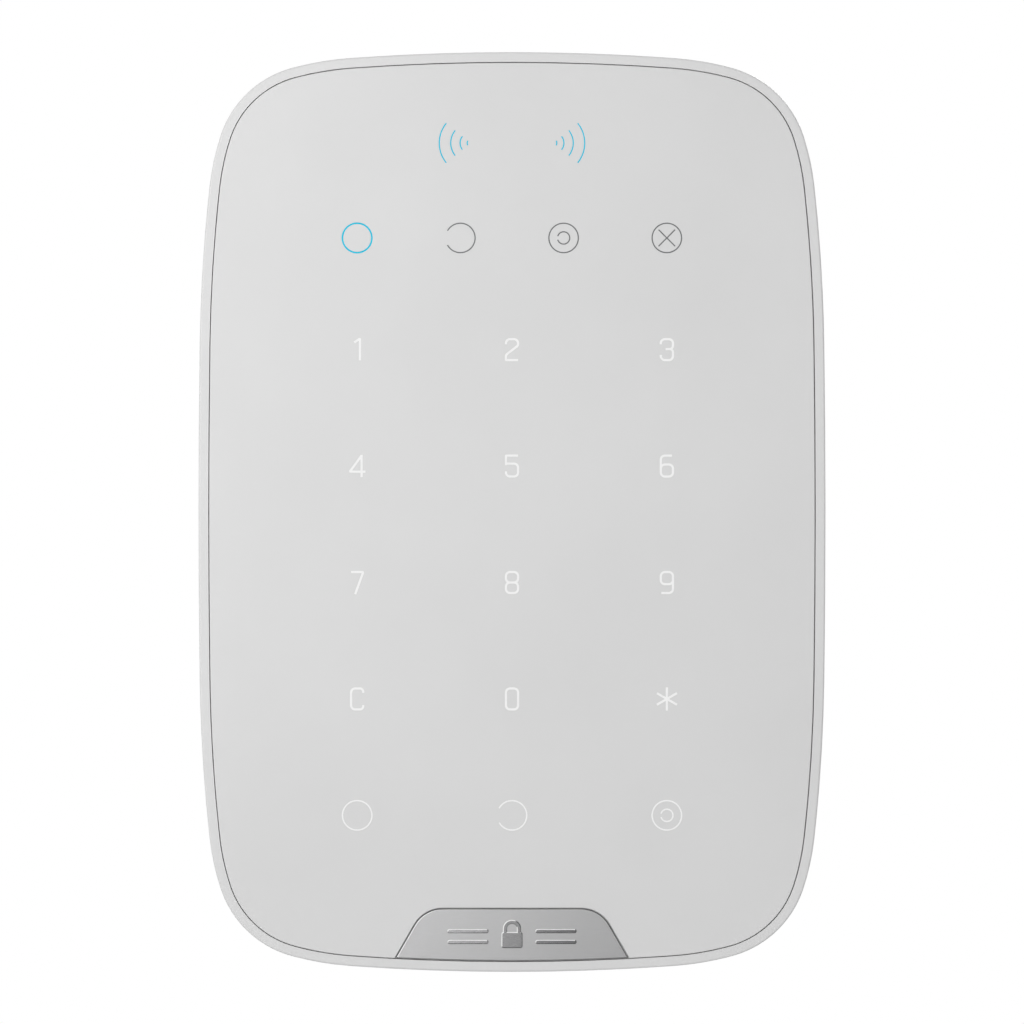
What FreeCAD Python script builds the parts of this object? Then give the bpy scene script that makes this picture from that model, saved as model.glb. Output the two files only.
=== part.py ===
import FreeCAD, Part
import math
import os

# Alarm keypad panel that hangs on a plate screwed to a wall. Millimetres.
# +Z is up, +X is to the right seen from the front, and the front faces -Y.
# The origin is the middle of the four wall screws, in the wall plane (y = 0).

V = FreeCAD.Vector

# ---------------------------------------------------------------- driving dimensions

PANEL_HEIGHT = 165.2
PANEL_DEPTH = 20.0
# The outline is a chain of tangent arcs, from the middle of the top to the middle of a side.
# Each has a radius and the angle it turns through; a last arc closes on the middle of the side.
OUTLINE_ARCS = ((405.7, 4.11), (55.2, 11.13), (18.5, 56.58), (45.1, 11.87), (294.5, 5.5))
CROWN_RADIUS = 7500.0           # the front is a shallow dome

RIM_WIDTH = 1.78                # the housing's edge, seen round the front panel
PARTING_GAP = 0.145
FITTING_GAP = 0.05              # between pieces that sit on each other
SLIP_GAP = 0.1                  # round a button or rod that slides in a hole
RIM_ROUND = 0.35
BACK_ROUND = 1.5
EDGE_BREAK = 0.15
CAST_ROUND = 0.4                # on the outer edges of the plate and the battery cover

LIFT = 8.0                      # the keypad slides this far up to come off its hooks

# depths, measured as y
SKIRT_BACK = -0.6
PLATE_FRONT = -2.4
HOUSING_BACK = -2.8
HOUSING_BACK_INSIDE = -4.2
COVER_BACK = -0.4
COVER_FRONT = -1.4
BAY_RIM = -1.45
BAY_FLOOR = -16.05
BAY_FLOOR_FRONT = -16.65
BOARD_BACK = -16.75
BOARD_FRONT = -17.55
MASK_BACK = -17.65
MASK_FRONT = -18.25
PANEL_BACK = -18.3

WALL = 2.6
PLATE_INSET = 3.6
MASK_INSET = 3.4
BOARD_INSET = 4.0

# wall plate
WALL_HOLE_RADIUS = 2.1
WALL_HOLE_SINK_RADIUS = 4.0
WALL_HOLE_SINK_DEPTH = 1.3
WALL_HOLES = [(x, z) for x in (-35.0, 35.0) for z in (-55.0, 55.0)]
HOOK_X = 46.0
HOOK_STEMS = (18.0, -34.0)      # heights of the undersides of the hooks' stems
HOOK_STEM_HEIGHT = 3.0
HOOK_LIP_HEIGHT = 6.0
HOOK_WIDTH = 8.0
HOOK_LIP_BACK = -4.5
HOOK_LIP_FRONT = -6.0
HOOK_LEAD_IN = 0.5
HOOK_SLOT_WIDTH = 10.0
TAB_CENTRE_Z = 61.0
TAB_WIDTH = 24.0
TAB_HEIGHT = 22.0
TAB_HOLE_Z = 54.0
PERFORATION = 1.0
BRIDGE = 1.2

# lock screw, its flange on the plate, and its notch and block in the housing
LOCK_Y = -5.2
LOCK_SHANK_RADIUS = 1.45
LOCK_SHANK_LENGTH = 8.0
LOCK_HEAD_RADIUS = 2.75
LOCK_HEAD_HEIGHT = 1.8
LOCK_RECESS_DEPTH = 0.9
LOCK_BORE_RADIUS = 1.55
LOCK_BORE_LENGTH = 6.6
LOCK_FLANGE_HOLE_RADIUS = 1.7
FLANGE_HALF_WIDTH = 6.0
FLANGE_BOTTOM = -79.9
FLANGE_TOP = -77.9
FLANGE_FRONT = -8.6
TONGUE_TOP = -68.0
NOTCH_TOP = -77.5
NOTCH_FRONT = -9.2
NOTCH_HALF_WIDTH = 7.0
LOCK_BLOCK_WALL = 1.6
LOCK_BLOCK_TOP = -69.4
LOCK_BLOCK_BOTTOM = -81.0

# battery bay
CELL_RADIUS = 7.25
CELL_LENGTH = 50.5
CELL_NUB_RADIUS = 2.75
CELL_NUB_HEIGHT = 1.3
CELL_PITCH = 14.7
CELL_COUNT = 4
BAY_Z = -4.0
BAY_HALF_WIDTH = 29.8
BAY_HALF_HEIGHT = 28.7
BAY_WALL = 1.3
COVER_HALF_WIDTH = 38.0
COVER_HALF_HEIGHT = 30.6
COVER_CORNER = 3.0
COVER_SCREWS = [(x, BAY_Z + z) for x in (-34.6, 34.6) for z in (-25.0, 25.0)]
COVER_BOSS_RADIUS = 3.0
COVER_BOSS_END = -8.0
COVER_PILOT_END = -7.4
WINDOW_MARGIN = 1.5
WINDOW_CORNER = 4.0
CELL_Y = COVER_FRONT - 0.1 - CELL_RADIUS
CONTACT_HALF_WIDTH = 5.5
CONTACT_HALF_DEPTH = 6.0
CONTACT_PLATE = 0.3
CONTACT_STAND = 0.75            # the raised contact's height off the bay's wall
CELL_TIP = BAY_HALF_HEIGHT - CONTACT_STAND

# fixings
POSTS = [(side * x, z) for side in (-1, 1) for x, z in ((45.0, 44.0), (45.0, -8.0), (42.0, -58.0))]
POST_RADIUS = 2.7
WELL_RADIUS = 2.9
WELL_WALL = 1.3
WELL_FLOOR = -6.5
WELL_END = -7.9
WELL_HOLE_RADIUS = 1.6
POST_CLEARANCE = 0.3
HOUSING_SCREW_RADIUS = 1.25
HOUSING_SCREW_END = -15.5
HOUSING_SCREW_HEAD_RADIUS = 2.5
HOUSING_SCREW_HEAD_HEIGHT = 1.6
BOARD_FIXINGS = [(x, z) for x in (-38.0, 38.0) for z in (38.0, -46.0)]
BOARD_BOSS_RADIUS = 2.75
BOARD_PILOT_END = -9.0
SMALL_SCREW_RADIUS = 0.95
SMALL_SCREW_PILOT = 1.05
BOARD_SCREW_HEAD_RADIUS = 2.1
BOARD_SCREW_HEAD_HEIGHT = 0.6
BOARD_SCREW_CLEARANCE = 0.5
SMALL_SCREW_HOLE = 1.1

# buttons on the back, and their switches on the board
TAMPER_Z = 62.0
TAMPER_ROD_RADIUS = 1.8
TAMPER_ROD_END = -5.0
TAMPER_FLANGE_RADIUS = 3.3
TAMPER_FLANGE_FRONT = -5.8
TAMPER_STEM_RADIUS = 1.5
TAMPER_STEM_END = -10.8
TAMPER_TIP_RADIUS = 1.0
TAMPER_TIP_END = -13.2
TAMPER_SWITCH_BACK = -12.2
POWER_X = 26.0
POWER_Z = 62.0
POWER_RADIUS = 2.8
POWER_CAP_END = -4.9
POWER_FLANGE_RADIUS = 3.7
POWER_FLANGE_FRONT = -5.6
POWER_STEM_RADIUS = 1.2
POWER_STEM_END = -13.4
POWER_SWITCH_BACK = -12.9
SWITCH_LEG_WIDTH = 1.4
SWITCH_LEG_HEIGHT = 0.8
SWITCH_LEG_DEPTH = 0.5

COPPER = 0.05                   # the tracks stand this far off the board
CHIPS = {                       # each chip's place, side, height, and leads on each side
    "microcontroller": (14.0, 44.0, 9.0, 1.5, 12),
    "touch_controller": (20.0, -40.5, 6.0, 1.2, 8),
    "reader_chip": (-6.0, 50.0, 5.0, 1.1, 6),
}

# legends on the front
COLUMN_PITCH = 27.8
DIGIT_ROW_TOP = 29.15
ROW_PITCH = 20.9
STATUS_Z = 49.19
STATUS_PITCH = 18.53
READER_Z = 66.24
READER_X = 7.4
DIGIT_STROKE = 0.38
MODE_STROKE = 0.24
ARMED_STROKE = 0.285
STATUS_STROKE = 0.205
READER_STROKE = 0.2
ICON_RADIUS = 2.645
OPEN_RING_HALF_GAP = 29.0       # degrees
INNER_RING_RADIUS = 1.1
INNER_RING_HALF_GAP = 16.0
CROSS_ARM = 1.49
WAVE_RADII = (0.65, 1.92, 3.6, 5.66)
WAVE_HALF_SPREAD = 39.0
LEGEND_DEPTH = 0.9
LEGEND_CLEARANCE = 0.01
LEGEND_SUNK = 0.03

# badge
BADGE_TOP = -71.27
BADGE_TOP_HALF_WIDTH = 15.75
BADGE_SIDE_ANGLE = 60.0
BADGE_CORNER = 5.75
BADGE_GAP = 0.25
BADGE_RIM_GAP = 0.1             # extra, where the badge meets the housing's rim
BADGE_THICKNESS = 1.2
MARK_Z = -76.1
MARK_STROKE = 0.75
MARK_BACK = -19.3
MARK_PROUD = 0.18
MARK_EDGE = 0.16
LOCK_BODY_HALF_WIDTH = 1.9
LOCK_BODY_HALF_HEIGHT = 1.45
LOCK_BODY_CORNER = 0.4
LOCK_BODY_DROP = 0.75           # the middle of the lock's body is this far under the mark's middle
SHACKLE_HALF_WIDTH = 1.25
SHACKLE_HEIGHT = 2.5
SHACKLE_CORNER = 1.2
BAR_LENGTH = 7.4
BAR_START = 4.2
BAR_RISES = (0.85, -1.1)

COLUMNS = (-COLUMN_PITCH, 0.0, COLUMN_PITCH)
ROWS = [DIGIT_ROW_TOP - row * ROW_PITCH for row in range(5)]
KEY_CENTRES = [(x, z) for z in ROWS[:4] for x in COLUMNS]
MODE_CENTRES = [(x, ROWS[4]) for x in COLUMNS]
STATUS_CENTRES = [((place - 1.5) * STATUS_PITCH, STATUS_Z) for place in range(4)]
READER_LED_X = 10.0
READER_LEDS = [(side * READER_LED_X, READER_Z) for side in (-1, 1)]
KEY_LIGHT_RADIUS = 4.5
STATUS_LIGHT_RADIUS = 4.0
READER_LIGHT_WIDTH = 8.0
READER_LIGHT_HEIGHT = 9.0

# ---------------------------------------------------------------- helpers


def box(x0, x1, y0, y1, z0, z1):
    """A block between the given planes, in any order."""
    low = V(min(x0, x1), min(y0, y1), min(z0, z1))
    return Part.makeBox(abs(x1 - x0), abs(y1 - y0), abs(z1 - z0), low)


def centred_box(x, z, width, height, y0, y1):
    return box(x - width / 2, x + width / 2, y0, y1, z - height / 2, z + height / 2)


def disc(radius, y_back, y_front, x=0.0, z=0.0):
    """A cylinder whose axis runs along Y."""
    return Part.makeCylinder(radius, y_back - y_front, V(x, y_back, z), V(0, -1, 0))


def cone(radius_back, radius_front, y_back, y_front, x=0.0, z=0.0):
    return Part.makeCone(radius_back, radius_front, y_back - y_front, V(x, y_back, z), V(0, -1, 0))


def extrude(face, y_back, y_front):
    """Gives a face drawn in the wall plane its depth."""
    moved = face.copy()
    moved.translate(V(0, y_back, 0))
    return moved.extrude(V(0, y_front - y_back, 0))


def fuse(shapes):
    shapes = list(shapes)
    if len(shapes) == 1:
        return shapes[0]
    return shapes[0].fuse(shapes[1:]).removeSplitter()


def cut(shape, tools):
    return shape.cut(list(tools))


def group(shapes):
    """Separate solids that share one node."""
    return Part.makeCompound(list(shapes))


def cross_recess(x, z, reach, width, y_front):
    """Crossed slots in the back of a screw's head."""
    return [
        centred_box(x, z, reach, width, 0, y_front),
        centred_box(x, z, width, reach, 0, y_front),
    ]


def back_edges(solid, y):
    """Edges that lie in the plane at y, on the solid's back."""
    return [edge for edge in solid.Edges if edge.BoundBox.YMin > y - 0.01]


def front_edges(solid, smallest_y):
    """Edges that lie on the dome, all of which are in front of a plane."""
    return [edge for edge in solid.Edges if edge.BoundBox.YMax < smallest_y]


def crown(sunk=0.0):
    """The ball whose front is the domed surface, or that surface sunk by a little."""
    return Part.makeSphere(CROWN_RADIUS - sunk, V(0, CROWN_RADIUS - PANEL_DEPTH, 0))


def outline_quarter(inset):
    """The arcs from the top's middle to the right side's middle, as start, middle and end points."""
    arcs = []
    x, z, heading = 0.0, PANEL_HEIGHT / 2, 0.0
    for radius, turn in OUTLINE_ARCS:
        centre_x = x - radius * math.sin(heading)
        centre_z = z - radius * math.cos(heading)
        end = heading + math.radians(turn)
        arcs.append((centre_x, centre_z, radius - inset, heading, end))
        heading = end
        x = centre_x + radius * math.sin(heading)
        z = centre_z + radius * math.cos(heading)
    radius = z / math.cos(heading)
    arcs.append((x - radius * math.sin(heading), 0.0, radius - inset, heading, math.pi / 2))
    return arcs


def outline_face(inset):
    """The panel's outline, brought in by the same amount all round."""
    edges = []
    for side in (1, -1):
        for upright in (1, -1):
            for centre_x, centre_z, radius, start, end in outline_quarter(inset):
                angles = (start, (start + end) / 2, end)
                points = [
                    V(side * (centre_x + radius * math.sin(a)), 0,
                      upright * (centre_z + radius * math.cos(a)))
                    for a in angles
                ]
                edges.append(Part.Arc(*points).toShape())
    return Part.Face(Part.Wire(Part.__sortEdges__(edges)))


def outline_solid(inset, y_back, y_front):
    return extrude(outline_face(inset), y_back, y_front)


def corner_wire(corners, closed):
    """Edges through corners of (x, z, radius), each rounded by its radius."""
    count = len(corners)
    points = [V(x, 0, z) for x, z, _ in corners]
    starts, ends, edges = [], [], []
    for i, (_, _, radius) in enumerate(corners):
        inner = closed or 0 < i < count - 1
        if not inner or radius <= 0:
            starts.append(points[i])
            ends.append(points[i])
            continue
        into = (points[i] - points[i - 1]).normalize()
        out = (points[(i + 1) % count] - points[i]).normalize()
        half_turn = math.acos(max(-1.0, min(1.0, into.dot(out)))) / 2
        reach = radius * math.tan(half_turn)
        bisector = (out - into).normalize()
        middle = points[i] + bisector * (radius / math.cos(half_turn) - radius)
        starts.append(points[i] - into * reach)
        ends.append(points[i] + out * reach)
        edges.append(Part.Arc(starts[i], middle, ends[i]).toShape())
    for i in range(count if closed else count - 1):
        start, end = ends[i], starts[(i + 1) % count]
        if start.distanceToPoint(end) > 1e-6:
            edges.append(Part.makeLine(start, end))
    return edges


def rounded_face(corners):
    return Part.Face(Part.Wire(Part.__sortEdges__(corner_wire(corners, True))))


def rectangle_face(half_width, half_height, radius, x=0.0, z=0.0):
    signs = ((-1, -1), (1, -1), (1, 1), (-1, 1))
    return rounded_face([(x + sx * half_width, z + sz * half_height, radius) for sx, sz in signs])


def beside(corners, offset, closed):
    """The corners of a line that runs beside another, to its left if offset is positive."""
    count = len(corners)
    moved = []
    for i, (x, z, radius) in enumerate(corners):
        here = V(x, 0, z)
        before = V(corners[i - 1][0], 0, corners[i - 1][1])
        after = V(corners[(i + 1) % count][0], 0, corners[(i + 1) % count][1])
        first = not closed and i == 0
        last = not closed and i == count - 1
        into = (after - here).normalize() if first else (here - before).normalize()
        out = into if last else (after - here).normalize()
        left_in, left_out = V(-into.z, 0, into.x), V(-out.z, 0, out.x)
        shift = (left_in + left_out) * (offset / (1 + left_in.dot(left_out)))
        turns_left = into.x * out.z - into.z * out.x > 0
        new_radius = max(0.0, radius - offset if turns_left else radius + offset)
        moved.append((x + shift.x, z + shift.z, new_radius))
    return moved


def stroke(corners, width, closed=False):
    """A band of even width along a line of (x, z, radius) corners."""
    left = beside(corners, width / 2, closed)
    right = beside(corners, -width / 2, closed)
    if closed:
        faces = sorted((rounded_face(left), rounded_face(right)), key=lambda face: face.Area)
        return faces[1].cut(faces[0])
    edges = corner_wire(left, False) + corner_wire(right, False)
    for a, b in ((left[0], right[0]), (left[-1], right[-1])):
        edges.append(Part.makeLine(V(a[0], 0, a[1]), V(b[0], 0, b[1])))
    return Part.Face(Part.Wire(Part.__sortEdges__(edges)))


def round_band(radius, width, start=0.0, end=360.0, x=0.0, z=0.0):
    """A ring, or part of one. Angles are in degrees, from +X towards +Z."""
    inner, outer = radius - width / 2, radius + width / 2
    centre, axis = V(x, 0, z), V(0, -1, 0)
    if end - start >= 360.0:
        big = Part.Face(Part.Wire(Part.makeCircle(outer, centre, axis)))
        return big.cut(Part.Face(Part.Wire(Part.makeCircle(inner, centre, axis))))

    def at(r, degrees):
        angle = math.radians(degrees)
        return V(x + r * math.cos(angle), 0, z + r * math.sin(angle))

    middle = (start + end) / 2
    edges = [
        Part.Arc(at(inner, start), at(inner, middle), at(inner, end)).toShape(),
        Part.Arc(at(outer, start), at(outer, middle), at(outer, end)).toShape(),
        Part.makeLine(at(inner, start), at(outer, start)),
        Part.makeLine(at(inner, end), at(outer, end)),
    ]
    return Part.Face(Part.Wire(Part.__sortEdges__(edges)))


# ---------------------------------------------------------------- legends


def digit_strokes(name):
    """Centre lines of a key's character: open lines and closed loops of (x, z, radius)."""
    w, h, r = 1.09, 1.88, 0.74
    lines = {
        "1": ([[(-0.52, 1.3, 0), (0.5, 1.96, 0.05), (0.5, -1.93, 0)]], []),
        "2": ([[(-w, 0.95, 0), (-w, h, r), (w, h, r), (w, 0.75, 0.6), (-w, -0.95, 0.5),
                (-w, -h, 0.05), (w, -h, 0)]], []),
        "3": ([[(-w, 0.95, 0), (-w, h, r), (w, h, r), (w, 0.1, 0.6), (-0.25, 0.1, 0)],
               [(-0.25, 0.1, 0), (w, 0.1, 0.6), (w, -h, r), (-w, -h, r), (-w, -0.95, 0)]], []),
        "4": ([[(0.8, -2.0, 0), (0.8, 2.0, 0)],
               [(0.8, 1.9, 0), (-1.3, -1.0, 0.05), (1.5, -1.0, 0)]], []),
        "5": ([[(w, h, 0), (-w, h, 0.05), (-w, 0.15, 0)],
               [(-w, 0.45, 0), (w, 0.45, r), (w, -h, r), (-w, -h, r), (-w, -0.95, 0)]], []),
        "6": ([[(0.9, h, 0), (-w, h, r), (-w, -0.8, 0)]],
              [[(-w, 0.28, r), (w, 0.28, r), (w, -h, r), (-w, -h, r)]]),
        "7": ([[(-w, 1.88, 0), (w, 1.88, 0.1), (-0.35, -2.1, 0)]], []),
        "8": ([], [[(-w, h, r), (w, h, r), (w, 0.0, r), (-w, 0.0, r)],
                   [(-w, 0.0, r), (w, 0.0, r), (w, -h, r), (-w, -h, r)]]),
        "9": ([[(w, 0.8, 0), (w, -h, r), (-1.0, -h, 0)]],
              [[(-w, h, r), (w, h, r), (w, -0.3, r), (-w, -0.3, r)]]),
        "0": ([], [[(-w, h, r), (w, h, r), (w, -h, r), (-w, -h, r)]]),
        "C": ([[(w, 1.1, 0), (w, h, 0.6), (-w, h, r), (-w, -h, r), (w, -h, 0.6), (w, -1.1, 0)]], []),
    }
    return lines[name]


def star_faces(width):
    """Three crossed strokes, a sixth of a turn apart."""
    reach = 2.08
    faces = []
    for degrees in (90, 30, -30):
        angle = math.radians(degrees)
        x, z = reach * math.cos(angle), reach * math.sin(angle)
        faces.append(stroke([(-x, -z, 0), (x, z, 0)], width))
    return faces


def character_faces(name, width):
    if name == "*":
        return star_faces(width)
    lines, loops = digit_strokes(name)
    return [stroke(line, width) for line in lines] + [stroke(loop, width, True) for loop in loops]


def open_ring(radius, width, half_gap):
    """A ring with a gap at its left."""
    return round_band(radius, width, -180 + half_gap, 180 - half_gap)


def closed_ring_faces(width):
    return [round_band(ICON_RADIUS, width)]


def open_ring_faces(width):
    return [open_ring(ICON_RADIUS, width, OPEN_RING_HALF_GAP)]


def night_ring_faces(width):
    return [round_band(ICON_RADIUS, width), open_ring(INNER_RING_RADIUS, width, INNER_RING_HALF_GAP)]


def cross_ring_faces(width):
    strokes = [
        stroke([(-CROSS_ARM, -CROSS_ARM * tilt, 0), (CROSS_ARM, CROSS_ARM * tilt, 0)], width)
        for tilt in (1, -1)
    ]
    return [round_band(ICON_RADIUS, width)] + strokes


def reader_wave_faces(side, width):
    """Four arcs that spread away from the middle, on one side of it."""
    facing = 0 if side > 0 else 180
    start, end = facing - WAVE_HALF_SPREAD, facing + WAVE_HALF_SPREAD
    return [round_band(radius, width, start, end) for radius in WAVE_RADII]


def legend_solids(make_faces, width, x, z, spare=0.0):
    """The inlay for one legend, or with spare the pocket that it fills."""
    solids = []
    for face in make_faces(width + 2 * spare):
        solid = extrude(face, -PANEL_DEPTH + LEGEND_DEPTH + spare, -PANEL_DEPTH - 1)
        solid.translate(V(x, 0, z))
        solids.append(solid)
    return solids


def legend_table():
    """Every legend: its node, how its faces are made, its stroke and its place."""
    rows = []
    for name, (x, z) in zip("123456789C0*", KEY_CENTRES):
        rows.append(("key_legends", lambda w, n=name: character_faces(n, w), DIGIT_STROKE, x, z))
    modes = (closed_ring_faces, open_ring_faces, night_ring_faces)
    for make_faces, (x, z) in zip(modes, MODE_CENTRES):
        rows.append(("mode_legends", make_faces, MODE_STROKE, x, z))
    states = (closed_ring_faces, open_ring_faces, night_ring_faces, cross_ring_faces)
    for place, (make_faces, (x, z)) in enumerate(zip(states, STATUS_CENTRES)):
        node, width = ("armed_legend", ARMED_STROKE) if place == 0 else ("status_legends", STATUS_STROKE)
        rows.append((node, make_faces, width, x, z))
    for side in (-1, 1):
        rows.append(("reader_legends", lambda w, s=side: reader_wave_faces(s, w), READER_STROKE,
                     side * READER_X, READER_Z))
    return rows


def make_legends():
    """The inlays, sorted into their nodes, and the pockets for all of them."""
    nodes, pockets = {}, []
    dome = crown(LEGEND_SUNK)
    for node, make_faces, width, x, z in legend_table():
        pockets += legend_solids(make_faces, width, x, z, LEGEND_CLEARANCE)
        fused = fuse(legend_solids(make_faces, width, x, z))
        nodes.setdefault(node, []).extend(fused.common(dome).Solids)
    return {node: group(solids) for node, solids in nodes.items()}, pockets


# ---------------------------------------------------------------- front


def badge_face(grown=0.0):
    """The badge's trapezoid, which runs off the bottom of the front panel."""
    angle = math.radians(BADGE_SIDE_ANGLE)
    top = BADGE_TOP + grown
    top_half = BADGE_TOP_HALF_WIDTH + grown * math.tan(angle / 2)
    bottom = -PANEL_HEIGHT / 2 - 2
    bottom_half = top_half + (top - bottom) / math.tan(angle)
    return rounded_face([
        (-top_half, top, BADGE_CORNER + grown),
        (top_half, top, BADGE_CORNER + grown),
        (bottom_half, bottom, 0),
        (-bottom_half, bottom, 0),
    ])


def badge_mark_faces(grown=0.0):
    """A plain padlock between two pairs of bars."""
    body = rectangle_face(LOCK_BODY_HALF_WIDTH + grown, LOCK_BODY_HALF_HEIGHT + grown,
                          LOCK_BODY_CORNER + grown, 0, MARK_Z - LOCK_BODY_DROP)
    shackle_top = MARK_Z + SHACKLE_HEIGHT
    shackle = stroke([
        (-SHACKLE_HALF_WIDTH, MARK_Z, 0),
        (-SHACKLE_HALF_WIDTH, shackle_top, SHACKLE_CORNER),
        (SHACKLE_HALF_WIDTH, shackle_top, SHACKLE_CORNER),
        (SHACKLE_HALF_WIDTH, MARK_Z, 0),
    ], MARK_STROKE + 2 * grown)
    faces = [body, shackle]
    half_height = MARK_STROKE / 2 + grown
    for side in (-1, 1):
        for rise in BAR_RISES:
            middle = side * (BAR_START + BAR_LENGTH / 2)
            faces.append(rectangle_face(BAR_LENGTH / 2 + grown, half_height, half_height - 0.01,
                                        middle, MARK_Z + rise))
    return faces


def make_badge_mark():
    """The mark's raised inlays, with bevelled edges: the lock, whose two faces overlap, and the bars."""
    solids = [extrude(face, MARK_BACK, -PANEL_DEPTH - 1) for face in badge_mark_faces()]
    solids = [fuse(solids[:2])] + solids[2:]
    dome = crown(LEGEND_SUNK - MARK_PROUD)
    inlays = [solid.common(dome) for solid in solids]
    return group(inlay.makeChamfer(MARK_EDGE, front_edges(inlay, MARK_BACK - 0.1)) for inlay in inlays)


def make_badge():
    back = -PANEL_DEPTH + BADGE_THICKNESS + FITTING_GAP
    blank = extrude(badge_face(), back, -PANEL_DEPTH - 1)
    blank = blank.common(outline_solid(RIM_WIDTH + PARTING_GAP + BADGE_RIM_GAP, back + 1, -PANEL_DEPTH - 2))
    badge = blank.common(crown(LEGEND_SUNK))
    badge = badge.makeFillet(EDGE_BREAK, front_edges(badge, back - 0.1))
    pockets = [extrude(face, MARK_BACK + LEGEND_CLEARANCE, -PANEL_DEPTH - 1)
               for face in badge_mark_faces(LEGEND_CLEARANCE)]
    return cut(badge, pockets)


def make_front_panel(pockets):
    panel = outline_solid(RIM_WIDTH + PARTING_GAP, PANEL_BACK, -PANEL_DEPTH - 1).common(crown())
    panel = panel.makeFillet(EDGE_BREAK, front_edges(panel, PANEL_BACK - 0.1))
    badge_seat = extrude(badge_face(BADGE_GAP), -PANEL_DEPTH + BADGE_THICKNESS + 2 * FITTING_GAP,
                         -PANEL_DEPTH - 1)
    panel = cut(panel, [badge_seat] + pockets)
    posts = [disc(POST_RADIUS, WELL_END - FITTING_GAP, PANEL_BACK - 0.5, x, z) for x, z in POSTS]
    bores = [disc(HOUSING_SCREW_RADIUS + FITTING_GAP, WELL_END, PANEL_BACK, x, z) for x, z in POSTS]
    return cut(fuse([panel] + posts), bores)


def post_holes():
    """Lets the front panel's posts through the mask and the board."""
    return [disc(POST_RADIUS + POST_CLEARANCE, 0, -PANEL_DEPTH, x, z) for x, z in POSTS]


def make_light_mask():
    """Keeps the light of each legend to itself."""
    mask = outline_solid(MASK_INSET, MASK_BACK, MASK_FRONT)
    head_hole = BOARD_SCREW_HEAD_RADIUS + BOARD_SCREW_CLEARANCE
    holes = post_holes()
    holes += [disc(head_hole, 0, -PANEL_DEPTH, x, z) for x, z in BOARD_FIXINGS]
    holes += [disc(KEY_LIGHT_RADIUS, 0, -PANEL_DEPTH, x, z) for x, z in KEY_CENTRES + MODE_CENTRES]
    holes += [disc(STATUS_LIGHT_RADIUS, 0, -PANEL_DEPTH, x, z) for x, z in STATUS_CENTRES]
    holes += [centred_box(x, z, READER_LIGHT_WIDTH, READER_LIGHT_HEIGHT, 0, -PANEL_DEPTH)
              for x, z in READER_LEDS]
    return cut(mask, holes)


# ---------------------------------------------------------------- rear housing


def housing_walls():
    """The hollow body, open at the front, with a skirt behind that hides the wall plate."""
    body = outline_solid(0.0, SKIRT_BACK, -PANEL_DEPTH - 1).common(crown())
    body = body.makeFillet(RIM_ROUND, front_edges(body, -PANEL_DEPTH / 2))
    body = body.makeFillet(BACK_ROUND, back_edges(body, SKIRT_BACK))
    recess = outline_solid(WALL, 1.0, HOUSING_BACK)
    inside = outline_solid(WALL, HOUSING_BACK_INSIDE, MASK_FRONT)
    mouth = outline_solid(RIM_WIDTH, MASK_FRONT, -PANEL_DEPTH - 1)
    return cut(body, [recess, inside, mouth])


def housing_additions():
    """Battery bay, fixing wells, board bosses and the lock screw's block."""
    half_width = BAY_HALF_WIDTH + BAY_WALL
    half_height = BAY_HALF_HEIGHT + BAY_WALL
    block_half_width = NOTCH_HALF_WIDTH + LOCK_BLOCK_WALL
    parts = [
        box(-half_width, half_width, BAY_RIM, BAY_FLOOR_FRONT, BAY_Z - half_height, BAY_Z + half_height),
        box(-block_half_width, block_half_width, HOUSING_BACK, NOTCH_FRONT - LOCK_BLOCK_WALL,
            LOCK_BLOCK_BOTTOM, LOCK_BLOCK_TOP),
    ]
    parts += [disc(COVER_BOSS_RADIUS, BAY_RIM, COVER_BOSS_END, x, z) for x, z in COVER_SCREWS]
    parts += [disc(WELL_RADIUS + WELL_WALL, HOUSING_BACK, WELL_END, x, z) for x, z in POSTS]
    parts += [disc(BOARD_BOSS_RADIUS, HOUSING_BACK, BOARD_BACK + FITTING_GAP, x, z) for x, z in BOARD_FIXINGS]
    return parts


def hook_slots():
    """Each slot is as tall as its hook's stem and the lift together."""
    half_width = HOOK_SLOT_WIDTH / 2
    return [
        box(side * HOOK_X - half_width, side * HOOK_X + half_width, 0, HOUSING_BACK_INSIDE - 0.01,
            stem - LIFT - 1, stem + HOOK_STEM_HEIGHT + FITTING_GAP)
        for stem in HOOK_STEMS
        for side in (-1, 1)
    ]


def sound_slots():
    """Five slots in the bottom wall, in front of the buzzer."""
    half_width, back, front, reach = 0.6, -10.0, -14.0, 3.6
    bottom = -PANEL_HEIGHT / 2
    return [box(x - half_width, x + half_width, back, front, bottom - 1, bottom + reach)
            for x in (-32, -28, -24, -20, -16)]


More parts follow.
